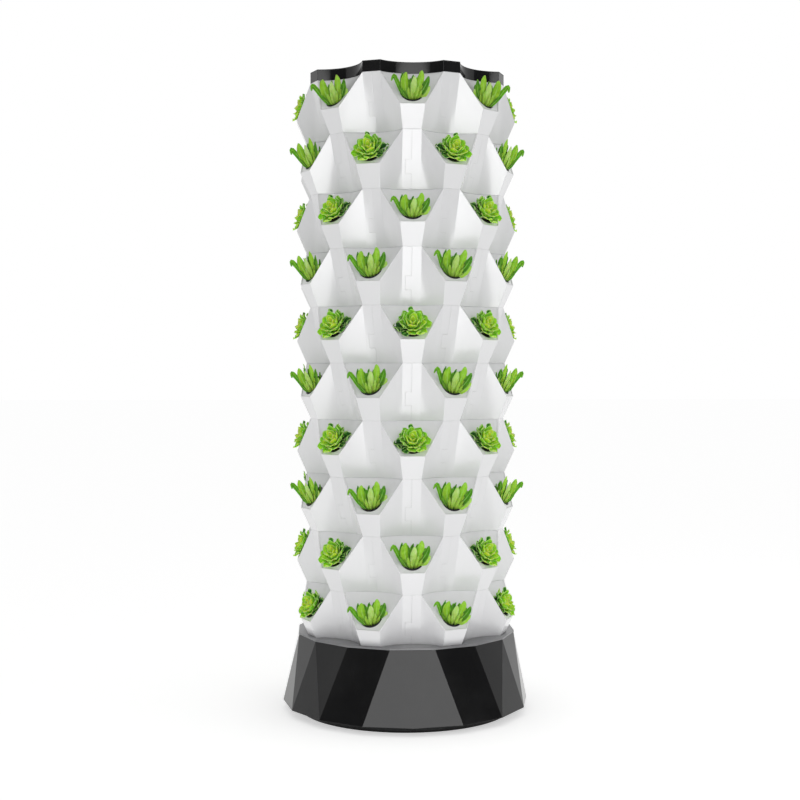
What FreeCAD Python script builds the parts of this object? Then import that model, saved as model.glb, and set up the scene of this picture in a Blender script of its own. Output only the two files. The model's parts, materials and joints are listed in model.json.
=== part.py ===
import FreeCAD, Part
import math
import os

# Vertical planter tower: a faceted water tank, ten stacked planting layers with eight pots each,
# and a scalloped cap. A layer is a ring of eight equal segments, which lap at the columns between
# the pots. Millimetres, +Z up. The origin is on the floor at the tower's axis, and the front, where
# the first layer has a pot, looks along -Y.

# Planting layers
layer_count = 10
pockets = 8
layer_pitch = 160.0
wall = 4.0

# Seam outline: a flat under or over each pot or column, and a scallop between two flats
flat_apothem = 290.5
flat_half = 26.0
scallop_apothem = 244.0

# Pot: front plate, lip and the sloping face that holds the cup, sunk between narrow rims
lip_apothem = 318.5
lip_half = 34.7
lip_height = 64.0
strip_foot_half = 26.0
face_rim = 2.6
face_recess = 1.2
face_tool_depth = 22.0
face_tool_length = 1.05

# Round hole in the sloping face, with a short sleeve and a ledge for the cup's rim
hole_radius = 34.0
hole_up_slope = 44.2
sleeve_wall = 2.5
ledge_depth = 3.0
ledge_thickness = 3.0
ledge_width = 2.8
sleeve_reach = 9.0
hole_reach = 12.0

# Joint between two segments, down the middle of a column, with a tab that laps over it
segment_gap = 0.3
tab_width = 17.0
tab_bottom = 42.0
tab_height = 38.0

# Collar that centres the next layer, and the flange that carries it
collar_height = 12.0
collar_wall = 2.5
collar_gap = 0.5
flange_thickness = 3.0
flange_inset = 1.0

# Net cup and its grow plug
rim_gap = 0.5
cup_rim_thickness = 3.0
cup_body_gap = 0.6
cup_foot_radius = 20.0
cup_length = 62.0
cup_wall = 1.6
cup_slots = 6
slot_width = 8.0
slot_bottom = 52.0
slot_top = 18.0
cup_drain_radius = 6.0
plug_top = 14.0
plug_bottom = 46.0
soft_gap = 0.3

# Plants, as plain bodies of their outer size, with profiles in shares of the radius and the height
upright_lean = 18.0
root_radius = 9.0
stem_gap = 5.2
stem_flare = 3.6
stem_heights = [0.21, 0.41]
upright_radius = 52.0
upright_height = 82.0
upright_profile = [(0.73, 0.61), (1.0, 0.83), (0.94, 0.94), (0.6, 1.0)]
rosette_radius = 55.0
rosette_height = 62.0
rosette_profile = [(1.0, 0.36), (0.96, 0.56), (0.62, 0.88)]

# Tank, with a facet edge at every half and every whole step of its sixteen sides. Its facets end
# above the floor, on a step plate, and a round sump under that plate carries the tower
base_sides = 16
base_height = 234.0
rim_radius = 320.5
foot_radius = 361.0
step_height = 24.0
sump_radius = 310.0
tank_wall = 5.0
tank_floor = 7.0

# Lid with the recess for the lowest layer and the guide for the riser
lid_thickness = 5.0
lid_overhang = 1.0
recess_depth = 18.0
recess_gap = 9.0
recess_wall = 3.0
recess_floor = 3.0
recess_opening = 215.0
lid_rib_wall = 3.0
lid_rib_height = 12.0
lid_rib_gap = 1.0
spokes = 4
spoke_width = 8.0
spoke_height = 6.0
guide_wall = 5.0
guide_height = 9.0

# Filler plug at the back of the lid
filler_angle = 180.0
filler_distance = 285.0
filler_radius = 16.0
filler_gap = 0.4
filler_flange = 20.0
filler_flange_thickness = 4.0
filler_depth = 14.0
filler_wall = 2.5
grip_length = 28.0
grip_width = 6.0
grip_height = 9.0
grip_round = 1.8

# Drain plug low in a back facet, and the grommet for the pump's lead high in the next one
drain_angle = 168.75
drain_height = 62.0
drain_radius = 12.0
drain_head_radius = 19.0
drain_head_thickness = 7.0
drain_head_chamfer = 1.75
drain_seal_thickness = 2.0
drain_shank = 22.0
drain_nut_width = 33.0
drain_nut_thickness = 7.0
drain_slot_width = 4.0
drain_slot_length = 25.0
drain_gap = 0.2
thread_gap = 0.05
lead_angle = 191.25
lead_height = 172.0
grommet_hole = 9.0
grommet_flange = 12.5
grommet_flange_thickness = 2.0
grommet_bore = 3.5

# Pump on the tank's floor
pump_width = 100.0
pump_depth = 82.0
pump_height = 84.0
pump_front = 22.0
pump_corner = 10.0
pump_feet_height = 8.0
pump_foot_radius = 12.0
foot_neck_radius = 6.6
foot_shoulder = 4.8
foot_hollow_radius = 9.6
foot_hollow_height = 3.2
chamber_radius = 27.0
chamber_depth = 24.0
chamber_height = 42.0
rotor_radius = 12.0
rotor_length = 34.0
rotor_gap = 0.05
rotor_end_gap = 1.0
impeller_hub = 8.0
impeller_tip = 24.0
impeller_vanes = 6
vane_thickness = 2.5
vane_width = 17.0
outlet_bore = 9.0
outlet_length = 25.0
strainer_depth = 18.0
strainer_wall = 2.5
strainer_edge = 6.0
strainer_slots = 9
strainer_slot_width = 4.0
strainer_slot_margin = 12.0

# Riser pipe, its coupling and spray head, and the tray under the cap
pipe_radius = 16.0
pipe_bore = 13.5
pipe_fit = 0.05
coupling_wall = 3.5
coupling_length = 60.0
tray_radius = 225.0
tray_wall = 3.0
tray_floor = 3.0
tray_depth = 36.0
tray_flange = 2.5
tray_flange_gap = 0.8
tray_holes = 24
tray_hole_radius = 3.0
tray_rings = [210.0, 150.0, 90.0]
tray_hub_wall = 5.0
tray_hub_height = 12.0
hub_gap = 0.3
pipe_stand = 10.0
head_wall = 4.0
head_overlap = 8.0
head_top = 3.0
head_crown_radius = 12.0
head_chamber = 8.0
head_slots = 8
head_slot_width = 4.0
head_slot_height = 5.0
head_slot_lift = 1.5

# Cap on the top layer
cap_height = 31.0
cap_top = 3.0
cap_step_inset = 16.0
cap_step_depth = 1.5

# Two edges at one level count as one seam within this
level_tolerance = 0.001

# Values that follow from the driving dimensions
V = FreeCAD.Vector
sector = 360.0 / pockets
half_sector = sector / 2
base_sector = 360.0 / base_sides
origin = V(0, 0, 0)
up = V(0, 0, 1)
sideways = V(1, 0, 0)
ledge_radius = hole_radius - ledge_width
tower_foot = base_height - recess_depth
tower_top = tower_foot + layer_count * layer_pitch
tower_top_phase = half_sector
face_lean = math.degrees(math.atan2(layer_pitch - lip_height, lip_apothem - scallop_apothem))
tank_rim = base_height - lid_thickness
tank_rim_radius = rim_radius - lid_overhang
facet_foot = foot_radius * math.cos(math.radians(base_sector / 2))
facet_lean = math.degrees(math.atan2(facet_foot - tank_rim_radius, tank_rim - step_height))
facet_skin = tank_wall * math.cos(math.radians(facet_lean))
corner_wall = tank_wall / math.cos(math.radians(base_sector / 2))
pump_foot = tank_floor + pump_feet_height
pump_top = pump_foot + pump_height
tray_seat = tower_top + collar_height
tray_base = tray_seat - tray_depth
hub_top = tray_base + tray_floor + tray_hub_height
pipe_top = hub_top + pipe_stand
pipe_joint = (pump_top + pipe_top) / 2


def around(angle, radial, across, height):
    """Point seen from a face that looks out at an angle from the front."""
    turn = math.radians(angle)
    x = radial * math.sin(turn) + across * math.cos(turn)
    y = across * math.sin(turn) - radial * math.cos(turn)
    return V(x, y, height)


def turned(shape, angle):
    copy = shape.copy()
    copy.rotate(origin, up, angle)
    return copy


def lifted(shape, height):
    copy = shape.copy()
    copy.translate(V(0, 0, height))
    return copy


def ring(outer, inner, bottom, top):
    """Round ring, or a disc where the inner radius is zero."""
    disc = Part.makeCylinder(outer, top - bottom, V(0, 0, bottom))
    if inner > 0:
        disc = disc.cut(Part.makeCylinder(inner, top - bottom, V(0, 0, bottom)))
    return disc


def block(x, y, z, length, width, height):
    """Box from its middle in X and Y and its bottom in Z."""
    return Part.makeBox(length, width, height, V(x - length / 2, y - width / 2, z))


def spun(profile):
    """Solid of revolution about Z from (radius, height) points."""
    points = [V(radius, 0, height) for radius, height in profile]
    return Part.Face(Part.makePolygon(points + points[:1])).revolve(origin, up, 360)


def export(name, solids):
    shape = solids[0] if len(solids) == 1 else Part.Compound(solids)
    shape.exportStep("parts/" + name + ".step")
    print(name, len(shape.Solids), "solids", round(shape.Volume / 1000, 1), "cm3", shape.isValid())


# Seam outline

def scallop_circle(inset):
    """Radius and centre distance of a scallop's arc, moved inwards by an inset."""
    turn = math.radians(half_sector)
    corner_out = flat_apothem * math.cos(turn) + flat_half * math.sin(turn)
    corner_side = flat_apothem * math.sin(turn) - flat_half * math.cos(turn)
    depth = corner_out - scallop_apothem
    radius = (corner_side ** 2 + depth ** 2) / (2 * depth)
    return radius + inset, scallop_apothem + radius


def flat_end(inset):
    """Half width of a flat, where the scallop's arc meets it."""
    radius, centre = scallop_circle(inset)
    turn = math.radians(half_sector)
    reach = centre * math.cos(turn) - (flat_apothem - inset)
    return centre * math.sin(turn) - math.sqrt(radius ** 2 - reach ** 2)


def on_scallop(angle, inset, across, height):
    radius, centre = scallop_circle(inset)
    return around(angle, centre - math.sqrt(radius ** 2 - across ** 2), across, height)


def layer_phase(layer):
    """First pot's angle: each layer is turned by half a step against the one above it."""
    return 0 if layer % 2 == 1 else half_sector


def outline(phase, inset, height):
    """Closed seam outline with its flats at the phase and every whole step from it."""
    edges = []
    half = flat_end(inset)
    apothem = flat_apothem - inset
    for step in range(pockets):
        angle = phase + step * sector
        start = around(angle, apothem, -half, height)
        end = around(angle, apothem, half, height)
        middle = on_scallop(angle + half_sector, inset, 0, height)
        following = around(angle + sector, apothem, -half, height)
        edges.append(Part.makeLine(start, end))
        edges.append(Part.Arc(end, middle, following).toShape())
    return Part.Wire(edges)


def scalloped(phase, inset, bottom, top):
    """Solid prism on the seam outline."""
    return Part.Face(outline(phase, inset, bottom)).extrude(V(0, 0, top - bottom))


def scalloped_band(phase, outer_inset, inner_inset, bottom, top):
    outer = scalloped(phase, outer_inset, bottom, top)
    return outer.cut(scalloped(phase, inner_inset, bottom, top))


# Planting layer, in its own height from 0, with a pot at the front

def pot_sector(inset):
    """Outer faces of one pot and the column strip on its right, moved inwards by an inset."""
    half = flat_end(inset)
    apothem = flat_apothem - inset
    turn = math.radians(half_sector)
    corner_side = apothem * math.sin(turn) - half * math.cos(turn)
    side_run = lip_apothem - flat_apothem * math.cos(turn)
    side_span = flat_apothem * math.sin(turn) - lip_half
    mitre = math.tan(math.atan2(side_run, side_span) / 2)
    lip = lip_half - inset * mitre
    faces = []

    lip_left = around(0, lip_apothem - inset, -lip, lip_height)
    lip_right = around(0, lip_apothem - inset, lip, lip_height)
    foot_left = around(0, apothem, -half, 0)
    foot_right = around(0, apothem, half, 0)
    top_left = around(-half_sector, apothem, half, layer_pitch)
    top_right = around(half_sector, apothem, -half, layer_pitch)
    top_beyond = around(half_sector, apothem, half, layer_pitch)
    top_middle = on_scallop(0, inset, 0, layer_pitch)

    faces.append(Part.Face(Part.makePolygon([foot_left, foot_right, lip_right, lip_left, foot_left])))
    lip_edge = Part.makeLine(lip_left, lip_right)
    faces.append(Part.makeRuledSurface(lip_edge, Part.Arc(top_left, top_middle, top_right).toShape()))

    quarter = (corner_side + strip_foot_half) / 2
    strip_near = on_scallop(half_sector, inset, -strip_foot_half, 0)
    strip_far = on_scallop(half_sector, inset, strip_foot_half, 0)
    right_arc = Part.Arc(foot_right, on_scallop(half_sector, inset, -quarter, 0), strip_near)
    faces.append(Part.makeRuledSurface(Part.makeLine(lip_right, top_right), right_arc.toShape()))
    left_strip = on_scallop(-half_sector, inset, strip_foot_half, 0)
    left_arc = Part.Arc(foot_left, on_scallop(-half_sector, inset, quarter, 0), left_strip)
    faces.append(Part.makeRuledSurface(Part.makeLine(lip_left, top_left), left_arc.toShape()))
    strip_arc = Part.Arc(strip_near, on_scallop(half_sector, inset, 0, 0), strip_far)
    faces.append(Part.makeRuledSurface(Part.makeLine(top_right, top_beyond), strip_arc.toShape()))
    return faces


def filled_layer(inset):
    """Solid inside of the layer's skin, closed by flat faces at the foot and the top."""
    faces = []
    for step in range(pockets):
        for face in pot_sector(inset):
            faces.append(turned(face, step * sector))
    for level in (0, layer_pitch):
        rim = []
        for face in faces:
            for edge in face.Edges:
                box = edge.BoundBox
                if max(abs(box.ZMin - level), abs(box.ZMax - level)) < level_tolerance:
                    rim.append(edge)
        faces.append(Part.Face(Part.Wire(Part.sortEdges(rim)[0])))
    sewn = Part.Compound(faces)
    sewn.sewShape()
    solid = Part.Solid(Part.Shell(sewn.Faces))
    if solid.Volume < 0:
        solid.reverse()
    return solid


def hole_frame(shape, angle):
    """Move a shape from the hole's own frame, with Z out of the hole, into a pot."""
    copy = shape.copy()
    copy.rotate(origin, sideways, face_lean)
    lean = math.radians(face_lean)
    out = lip_apothem - hole_up_slope * math.cos(lean)
    height = lip_height + hole_up_slope * math.sin(lean)
    copy.translate(around(0, out, 0, height))
    return turned(copy, angle)


def face_pocket():
    """Tool that sinks the sloping face, leaving a rim along the lip and both sides."""
    lean = math.radians(face_lean)
    lip_out = lip_apothem - face_rim * math.cos(lean)
    lip_up = lip_height + face_rim * math.sin(lean)
    turn = math.radians(half_sector)
    corner_side = flat_apothem * math.sin(turn) - flat_half * math.cos(turn) - face_rim
    low = [around(0, lip_out, side * (lip_half - face_rim), lip_up) for side in (-1, 0, 1)]
    high = [on_scallop(0, 0, side * corner_side, layer_pitch) for side in (-1, 0, 1)]
    past_top = [foot + (head - foot) * face_tool_length for foot, head in zip(low, high)]
    top_arc = Part.Arc(past_top[0], past_top[1], past_top[2]).toShape()
    face = Part.makeRuledSurface(Part.makeLine(low[0], low[2]), top_arc)
    outwards = around(0, math.sin(lean), 0, math.cos(lean))
    face.translate(outwards * -face_recess)
    return face.extrude(outwards * face_tool_depth)


def joint_tab(angle, gap):
    """Block that reaches from the next segment's edge over the tab, grown by a gap on its free sides."""
    bottom = tab_bottom - gap
    height = tab_height + 2 * gap
    reach = tab_width + gap
    tab = Part.makeBox(reach + segment_gap, lip_apothem, height, V(-reach, -lip_apothem, bottom))
    return turned(tab, angle)


def segment_wedge():
    """Prism over one pot's sector, drawn back by half a gap on both sides."""
    turn = math.radians(half_sector)
    apex = segment_gap / 2 / math.sin(turn)
    reach = 2 * lip_apothem
    bottom = -layer_pitch
    points = [around(0, apex, 0, bottom)]
    for side in (-1, 1):
        points.append(around(side * half_sector, reach, 0, bottom) + around(0, apex, 0, 0))
    return Part.Face(Part.makePolygon(points + points[:1])).extrude(V(0, 0, 3 * layer_pitch))


def layer_segment(ring_of_pots):
    """Front pot's segment: its left edge carries the tab, and its right edge the notch for one."""
    segment = ring_of_pots.common(segment_wedge().fuse(joint_tab(-half_sector, 0)))
    return segment.cut(joint_tab(half_sector, segment_gap))


def planting_layer():
    outside = filled_layer(0)
    body = outside.cut(filled_layer(wall))
    top_phase = half_sector
    collar_inset = wall + collar_gap
    inner_inset = collar_inset + collar_wall
    flange_bottom = layer_pitch - flange_thickness
    flange = scalloped_band(top_phase, flange_inset, inner_inset, flange_bottom, layer_pitch)
    collar_top = layer_pitch + collar_height
    collar = scalloped_band(top_phase, collar_inset, inner_inset, flange_bottom, collar_top)
    sleeve = ring(hole_radius + sleeve_wall, 0, -ledge_depth - ledge_thickness, sleeve_reach)
    sleeves = [hole_frame(sleeve, step * sector).common(outside) for step in range(pockets)]
    body = body.fuse([flange, collar] + sleeves)
    wide = ring(hole_radius, 0, -ledge_depth, hole_reach)
    narrow = ring(ledge_radius, 0, -hole_reach, 0)
    hole = wide.fuse(narrow)
    holes = [hole_frame(hole, step * sector) for step in range(pockets)]
    pockets_sunk = [turned(face_pocket(), step * sector) for step in range(pockets)]
    return body.cut(pockets_sunk).cut(holes).removeSplitter()


# Net cup, plug and plants, in the hole's own frame

def net_cup():
    rim = hole_radius - rim_gap
    throat = ledge_radius - cup_body_gap
    bottom = -cup_length
    rim_bottom = -cup_rim_thickness
    slope = (throat - cup_foot_radius) / (cup_length - cup_rim_thickness)
    inner_foot = cup_foot_radius - cup_wall + slope * cup_wall
    body = spun([
        (0, bottom), (cup_foot_radius, bottom), (throat, rim_bottom), (rim, rim_bottom),
        (rim, 0), (throat - cup_wall, 0), (throat - cup_wall, rim_bottom),
        (inner_foot, bottom + cup_wall), (0, bottom + cup_wall)])
    slots = [ring(cup_drain_radius, 0, bottom - cup_wall, bottom + 2 * cup_wall)]
    for step in range(cup_slots):
        slot = block(hole_radius / 2 + cup_drain_radius, 0, -slot_bottom, hole_radius, slot_width,
                     slot_bottom - slot_top)
        slots.append(turned(slot, step * 360.0 / cup_slots))
    return body.cut(slots)


def cup_bore(depth):
    """Inner radius of the cup's wall at a depth under its rim."""
    throat = ledge_radius - cup_body_gap
    slope = (throat - cup_foot_radius) / (cup_length - cup_rim_thickness)
    return throat - cup_wall - slope * (depth - cup_rim_thickness)


def grow_plug():
    return spun([
        (0, -plug_bottom), (cup_bore(plug_bottom) - soft_gap, -plug_bottom),
        (cup_bore(plug_top) - soft_gap, -plug_top), (0, -plug_top)])


def rosette_plant():
    """Round head of leaves about the hole's own axis."""
    root = -plug_top + soft_gap
    head = [(out * rosette_radius, rise * rosette_height) for out, rise in rosette_profile]
    neck_radius = cup_bore(plug_top) - stem_gap
    neck = [(0, root), (neck_radius, root), (neck_radius, 0)]
    return spun(neck + head + [(0, rosette_height)])


def upright_plant():
    """Sheaf of upright leaves, standing on the plug and leaning out a little. Its stem clears the cup."""
    tilt = math.radians(face_lean - upright_lean)
    root_rise = root_radius * math.tan(tilt) + soft_gap
    mouth = ledge_radius - cup_body_gap - cup_wall
    stem_radius = (mouth - stem_gap - plug_top * math.tan(tilt)) * math.cos(tilt)
    stem_heights_up = [rise * upright_height for rise in stem_heights]
    stem = [(stem_radius, stem_heights_up[0]), (stem_radius + stem_flare, stem_heights_up[1])]
    leaves = [(out * upright_radius, rise * upright_height) for out, rise in upright_profile]
    sheaf = spun([(0, 0), (root_radius, root_rise)] + stem + leaves + [(0, upright_height)])
    sheaf.rotate(origin, sideways, upright_lean - face_lean)
    sheaf.translate(V(0, 0, soft_gap - plug_top))
    return sheaf


# Base

def corners(radius, phase, height):
    """Corners of the sixteen-sided outline, the first at the phase."""
    return [around(phase + step * base_sector, radius, 0, height) for step in range(base_sides)]


def polygon_prism(radius, phase, bottom, top):
    points = corners(radius, phase, bottom)
    return Part.Face(Part.makePolygon(points + points[:1])).extrude(V(0, 0, top - bottom))


def faceted_body(foot, rim, bottom, top):
    """Solid between a sixteen-sided foot and a rim turned by half a side, with flat triangles."""
    low = corners(foot, 0, bottom)
    high = corners(rim, base_sector / 2, top)
    faces = [
        Part.Face(Part.makePolygon(low + low[:1])),
        Part.Face(Part.makePolygon(high + high[:1]))]
    for step in range(base_sides):
        after = (step + 1) % base_sides
        faces.append(Part.Face(Part.makePolygon([low[step], low[after], high[step], low[step]])))
        faces.append(Part.Face(Part.makePolygon([low[after], high[after], high[step], low[after]])))
    sewn = Part.Compound(faces)
    sewn.sewShape()
    solid = Part.Solid(Part.Shell(sewn.Faces))
    if solid.Volume < 0:
        solid.reverse()
    return solid


def facet_frame(shape, angle, height):
    """Move a shape from a facet's own frame, with Z out of the tank, onto an upward facet."""
    copy = shape.copy()
    copy.rotate(origin, sideways, 90.0 - facet_lean)
    out = facet_foot - (height - step_height) * math.tan(math.radians(facet_lean))
    copy.translate(around(0, out, 0, height))
    return turned(copy, angle)


def hexagon(across, bottom, top):
    """Six-sided prism of a width across its flats."""
    corner = across / 2 / math.cos(math.radians(30))
    points = [around(step * 60, corner, 0, bottom) for step in range(6)]
    return Part.Face(Part.makePolygon(points + points[:1])).extrude(V(0, 0, top - bottom))


def reservoir_tank():
    """Round floor, and the shell of sump wall, step plate and facets that stands on it."""
    outer = faceted_body(foot_radius, tank_rim_radius, step_height, tank_rim)
    inner = faceted_body(foot_radius - corner_wall, tank_rim_radius - tank_wall, step_height, tank_rim)
    hollow = inner.cut(Part.makeCylinder(foot_radius, tank_wall, V(0, 0, step_height)))
    sump_bore = Part.makeCylinder(sump_radius - tank_wall, tank_rim)
    drain = ring(drain_radius + drain_gap, 0, -drain_shank, drain_shank)
    lead = hexagon(2 * grommet_hole, -drain_shank, drain_shank)
    drain_hole = facet_frame(drain, drain_angle, drain_height)
    lead_hole = facet_frame(lead, lead_angle, lead_height)
    sump = Part.makeCylinder(sump_radius, step_height - tank_floor, V(0, 0, tank_floor))
    shell = outer.fuse(sump).cut([hollow, sump_bore, drain_hole, lead_hole])
    return [Part.makeCylinder(sump_radius, tank_floor), shell]


def reservoir_lid():
    phase = base_sector / 2
    foot_phase = layer_phase(layer_count)
    plate = polygon_prism(rim_radius, phase, tank_rim, base_height)
    pan_bottom = tower_foot - recess_floor
    pan = scalloped(foot_phase, -recess_gap - recess_wall, pan_bottom, base_height)
    recess = scalloped(foot_phase, -recess_gap, tower_foot, base_height)
    rib_radius = tank_rim_radius - tank_wall - lid_rib_gap
    rib_bottom = tank_rim - lid_rib_height
    rib = polygon_prism(rib_radius, phase, rib_bottom, tank_rim)
    rib = rib.cut(polygon_prism(rib_radius - lid_rib_wall, phase, rib_bottom, tank_rim))
    filler = Part.makeCylinder(filler_radius, base_height, around(filler_angle, filler_distance, 0, 0))
    well = Part.makeCylinder(recess_opening, base_height)
    lid = plate.fuse([pan, rib]).cut([recess, filler, well])
    guide_bore = pipe_radius + hub_gap
    guide = ring(guide_bore + guide_wall, 0, pan_bottom, pan_bottom + guide_height)
    arms = [guide]
    for step in range(spokes):
        reach = recess_opening + recess_floor
        arm = Part.makeBox(reach, spoke_width, spoke_height, V(0, -spoke_width / 2, pan_bottom))
        arms.append(turned(arm, step * 360.0 / spokes))
    arms_and_guide = arms[0].fuse(arms[1:])
    bore = Part.makeCylinder(guide_bore, base_height)
    return lid.fuse(arms_and_guide).cut(bore)


def filler_plug():
    skirt = filler_radius - filler_gap
    body = spun([
        (0, 0), (skirt - filler_wall, 0), (skirt - filler_wall, -filler_depth), (skirt, -filler_depth),
        (skirt, 0), (filler_flange, 0), (filler_flange, filler_flange_thickness),
        (0, filler_flange_thickness)])
    grip = block(0, 0, filler_flange_thickness, grip_length, grip_width, grip_height)
    grip = grip.makeFillet(grip_round, [edge for edge in grip.Edges if edge.BoundBox.ZMin > 0])
    body = body.fuse(block(0, 0, 0, grip_length, grip_width, filler_flange_thickness)).fuse(grip)
    body.translate(around(filler_angle, filler_distance, 0, base_height))
    return body.removeSplitter()


def drain_plug():
    head_bottom = drain_seal_thickness
    head_top_level = head_bottom + drain_head_thickness
    head = ring(drain_head_radius, 0, head_bottom, head_top_level)
    head = head.makeChamfer(drain_head_chamfer, [head.Edges[0]])
    shank = ring(drain_radius, 0, head_bottom - drain_shank, head_bottom)
    slot_bottom_level = head_top_level - drain_slot_width
    slot = block(0, 0, slot_bottom_level, drain_slot_length, drain_slot_width, drain_slot_width)
    return facet_frame(head.fuse(shank).cut(slot), drain_angle, drain_height)


def drain_seal():
    outer = drain_head_radius - drain_seal_thickness
    seal = ring(outer, drain_radius + drain_gap, 0, drain_seal_thickness)
    return facet_frame(seal, drain_angle, drain_height)


def drain_nut():
    nut = hexagon(drain_nut_width, -facet_skin - drain_nut_thickness, -facet_skin)
    bore = Part.makeCylinder(drain_radius + thread_gap, drain_shank, V(0, 0, -drain_shank))
    return facet_frame(nut.cut(bore), drain_angle, drain_height)


def lead_grommet():
    """Two round flanges on a six-sided neck, which can't turn in its hole."""
    inside = -facet_skin - grommet_flange_thickness
    neck = hexagon(2 * (grommet_hole - soft_gap), inside, grommet_flange_thickness)
    inner_flange = ring(grommet_flange, 0, inside, -facet_skin)
    outer_flange = ring(grommet_flange, 0, 0, grommet_flange_thickness)
    bore = ring(grommet_bore, 0, inside, grommet_flange_thickness)
    body = neck.fuse([inner_flange, outer_flange]).cut(bore)
    return facet_frame(body, lead_angle, lead_height)


# Pump, with its chamber open to the front

def along_y(shape, y, z):
    """Move a shape from the Z axis onto a level axis that runs backwards from y."""
    copy = shape.copy()
    copy.rotate(origin, sideways, -90)
    copy.translate(V(0, y, z))
    return copy


def pump_body():
    middle = pump_depth / 2 - pump_front
    body = block(0, middle, pump_foot, pump_width, pump_depth, pump_height)
    uprights = [edge for edge in body.Edges if edge.BoundBox.ZLength > pump_height / 2]
    body = body.makeFillet(pump_corner, uprights)
    body = body.fuse(Part.makeCylinder(pipe_bore - pipe_fit, outlet_length, V(0, 0, pump_top)))
    axis_height = pump_foot + chamber_height
    chamber = along_y(ring(chamber_radius, 0, 0, chamber_depth), -pump_front, axis_height)
    bore = along_y(ring(rotor_radius + rotor_gap, 0, 0, chamber_depth + rotor_length + rotor_end_gap),
                   -pump_front, axis_height)
    channel = Part.makeCylinder(outlet_bore, pump_height + outlet_length, V(0, 0, axis_height))
    return body.cut([chamber, bore, channel])


def pump_impeller():
    front = chamber_depth - rotor_end_gap - vane_width
    back = chamber_depth - rotor_end_gap
    hub = ring(impeller_hub, 0, front, back)
    rotor = ring(rotor_radius, 0, back, back + rotor_length)
    vanes = []
    for step in range(impeller_vanes):
        vane = Part.makeBox(impeller_tip, vane_thickness, vane_width, V(0, -vane_thickness / 2, front))
        vanes.append(turned(vane, step * 360.0 / impeller_vanes))
    wheel = hub.fuse([rotor] + vanes)
    return along_y(wheel, -pump_front, pump_foot + chamber_height)


def pump_strainer():
    width = pump_width - 2 * strainer_edge
    height = pump_height - 2 * strainer_edge
    bottom = pump_foot + strainer_edge
    middle = -pump_front - strainer_depth / 2
    shell = block(0, middle, bottom, width, strainer_depth, height)
    upright = [edge for edge in shell.Edges if edge.BoundBox.ZLength > height / 2
               and edge.BoundBox.YMin < middle]
    shell = shell.makeFillet(strainer_edge, upright)
    hollow = block(0, middle + strainer_wall, bottom + strainer_wall, width - 2 * strainer_wall,
                   strainer_depth, height - 2 * strainer_wall)
    cuts = [hollow]
    pitch = (width - 2 * strainer_slot_margin) / (strainer_slots - 1)
    for step in range(strainer_slots):
        x = -width / 2 + strainer_slot_margin + step * pitch
        cuts.append(block(x, middle, bottom + strainer_slot_margin, strainer_slot_width,
                          strainer_depth * 2, height - 2 * strainer_slot_margin))
    return shell.cut(cuts)


def pump_feet():
    inset = pump_foot_radius + strainer_wall
    feet = []
    cup = spun([
        (0, foot_hollow_height), (foot_hollow_radius, 0), (pump_foot_radius, 0),
        (foot_neck_radius, foot_shoulder), (foot_neck_radius, pump_feet_height), (0, pump_feet_height)])
    for x in (inset - pump_width / 2, pump_width / 2 - inset):
        for y in (inset - pump_front, pump_depth - pump_front - inset):
            foot = cup.copy()
            foot.translate(V(x, y, tank_floor))
            feet.append(foot)
    return feet


# Water line to the top

def riser_pipes():
    lower = ring(pipe_radius, pipe_bore, pump_top, pipe_joint)
    higher = ring(pipe_radius, pipe_bore, pipe_joint, pipe_top)
    return [lower, higher]


def riser_coupling():
    bore = pipe_radius + pipe_fit
    half = coupling_length / 2
    return ring(bore + coupling_wall, bore, pipe_joint - half, pipe_joint + half)


def distributor_tray():
    dish = ring(tray_radius, 0, tray_base, tray_seat + tray_flange)
    dish = dish.cut(ring(tray_radius - tray_wall, 0, tray_base + tray_floor, tray_seat + tray_flange))
    flange = scalloped(tower_top_phase, wall + tray_flange_gap, tray_seat, tray_seat + tray_flange)
    flange = flange.cut(Part.makeCylinder(tray_radius - tray_wall, tray_flange, V(0, 0, tray_seat)))
    bore = pipe_radius + hub_gap
    hub = ring(bore + tray_hub_wall, 0, tray_base, hub_top)
    holes = [Part.makeCylinder(bore, tray_depth, V(0, 0, tray_base))]
    for distance in tray_rings:
        for step in range(tray_holes):
            centre = around(step * 360.0 / tray_holes, distance, 0, tray_base)
            holes.append(Part.makeCylinder(tray_hole_radius, tray_floor, centre))
    return dish.fuse([flange, hub]).cut(holes)


def spray_head():
    outer = pipe_radius + pipe_fit + head_wall
    bottom = pipe_top - head_overlap
    top = pipe_top + head_chamber + head_top
    body = spun([
        (pipe_radius + pipe_fit, bottom), (outer, bottom), (outer, top - head_top),
        (head_crown_radius, top), (0, top), (0, top - head_top), (pipe_bore, top - head_top),
        (pipe_bore, pipe_top), (pipe_radius + pipe_fit, pipe_top)])
    slots = []
    for step in range(head_slots):
        corner = V(0, -head_slot_width / 2, pipe_top + head_slot_lift)
        slot = Part.makeBox(outer * 2, head_slot_width, head_slot_height, corner)
        slots.append(turned(slot, step * 360.0 / head_slots))
    return body.cut(slots)


def top_cap():
    top = tower_top + cap_height
    body = scalloped(tower_top_phase, 0, tower_top, top)
    body = body.cut(scalloped(tower_top_phase, wall, tower_top, top - cap_top))
    return body.cut(scalloped(tower_top_phase, cap_step_inset, top - cap_step_depth, top))


# Which plant stands in which pot, from the front of the tower: whole rows of one kind in the middle,
# and mixed rows near both ends

def is_rosette(layer, angle):
    side = abs(angle)
    if layer in (1, 10):
        return side > 60
    if layer == 2:
        return side < 45
    if layer in (3, 9):
        return side > 20
    return layer in (5, 7)


def pocket_angles(layer):
    """Pot angles of a layer, from -180 to 180, counted from the front."""
    angles = [layer_phase(layer) + step * sector for step in range(pockets)]
    return [angle - 360 if angle > 180 else angle for angle in angles]


os.makedirs("parts", exist_ok=True)

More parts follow.
